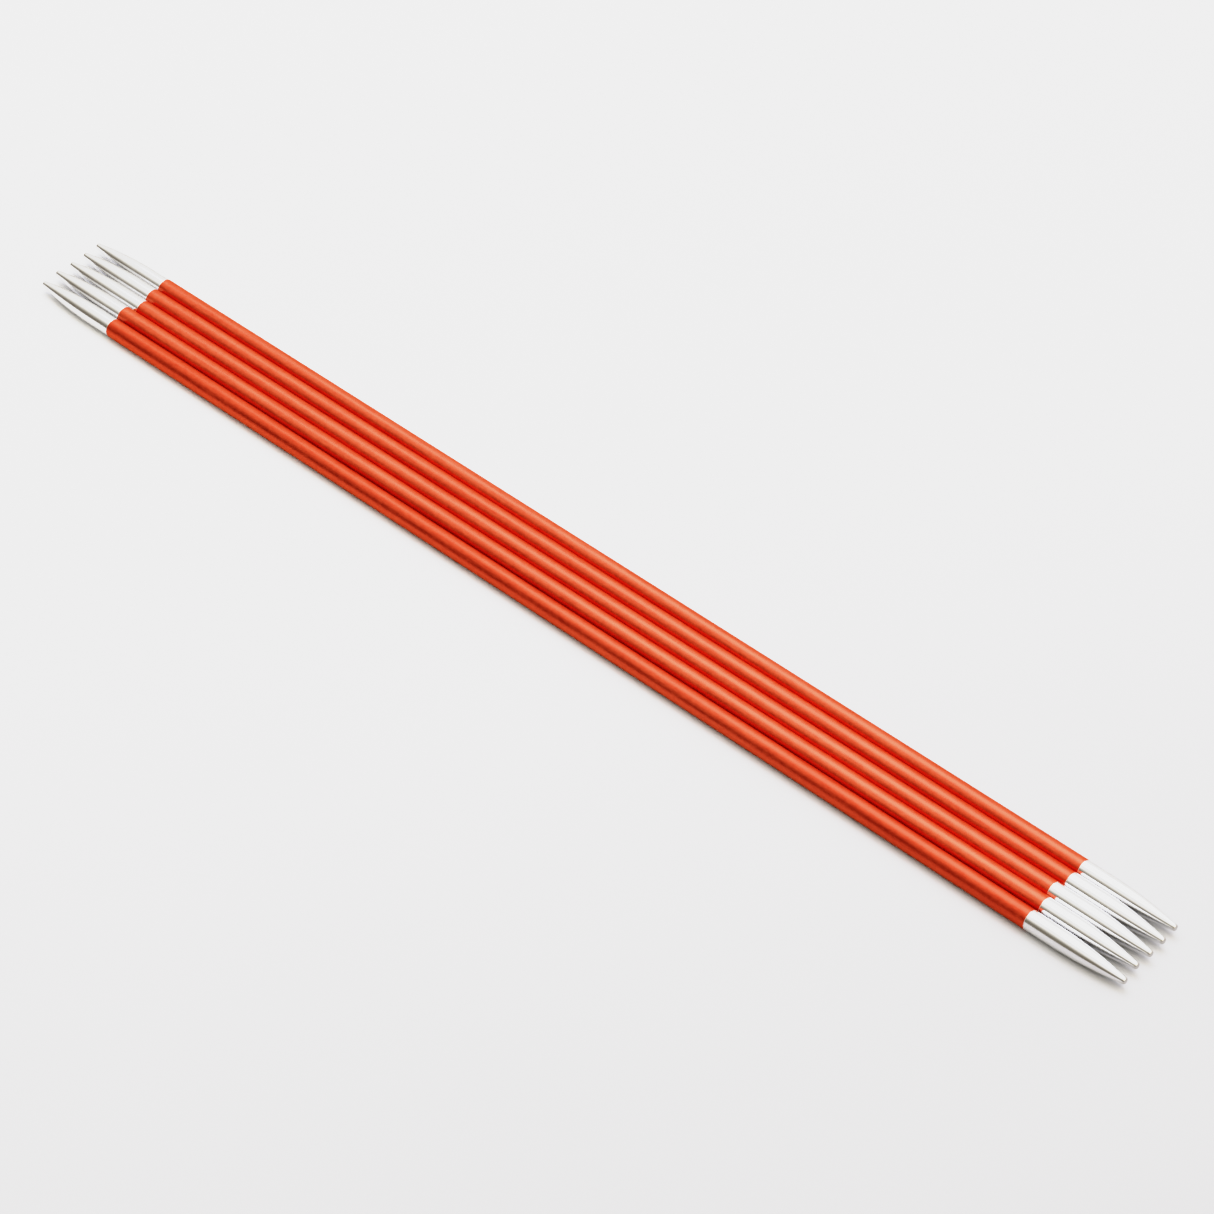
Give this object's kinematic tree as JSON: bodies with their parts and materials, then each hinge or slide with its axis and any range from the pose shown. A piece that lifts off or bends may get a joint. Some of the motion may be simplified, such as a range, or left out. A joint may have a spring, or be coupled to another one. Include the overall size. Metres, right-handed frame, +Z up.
{
  "type": "double pointed needles",
  "caption": "Straight round metal knitting needles, plated and tapered at both ends, lying loose side by side; stitches slide on and off either end for knitting in the round.",
  "frame": {"origin": "on the surface the needles lie on, under the middle of the whole set", "axes": "+X along the needles towards their right ends, +Y from needle 1 at the front to needle 5 at the back, +Z up"},
  "size_m": [0.2018, 0.014, 0.0027],
  "materials": {
    "anodised_shaft": "satin",
    "plated_point": "gloss"
  },
  "bodies": {
    "needle_1": {"needle_1_left_point": "plated_point", "needle_1_shaft": "anodised_shaft", "needle_1_right_point": "plated_point"},
    "needle_2": {"needle_2_left_point": "plated_point", "needle_2_shaft": "anodised_shaft", "needle_2_right_point": "plated_point"},
    "needle_3": {"needle_3_left_point": "plated_point", "needle_3_shaft": "anodised_shaft", "needle_3_right_point": "plated_point"},
    "needle_4": {"needle_4_left_point": "plated_point", "needle_4_shaft": "anodised_shaft", "needle_4_right_point": "plated_point"},
    "needle_5": {"needle_5_left_point": "plated_point", "needle_5_shaft": "anodised_shaft", "needle_5_right_point": "plated_point"}
  },
  "joints": [
    {"name": "needle_1_lift", "type": "slide", "parent": "needle_3", "child": "needle_1", "axis": [0, 0, 1], "range_m": [0, 0.04]},
    {"name": "needle_2_lift", "type": "slide", "parent": "needle_3", "child": "needle_2", "axis": [0, 0, 1], "range_m": [0, 0.04]},
    {"name": "needle_4_lift", "type": "slide", "parent": "needle_3", "child": "needle_4", "axis": [0, 0, 1], "range_m": [0, 0.04]},
    {"name": "needle_5_lift", "type": "slide", "parent": "needle_3", "child": "needle_5", "axis": [0, 0, 1], "range_m": [0, 0.04]}
  ]
}
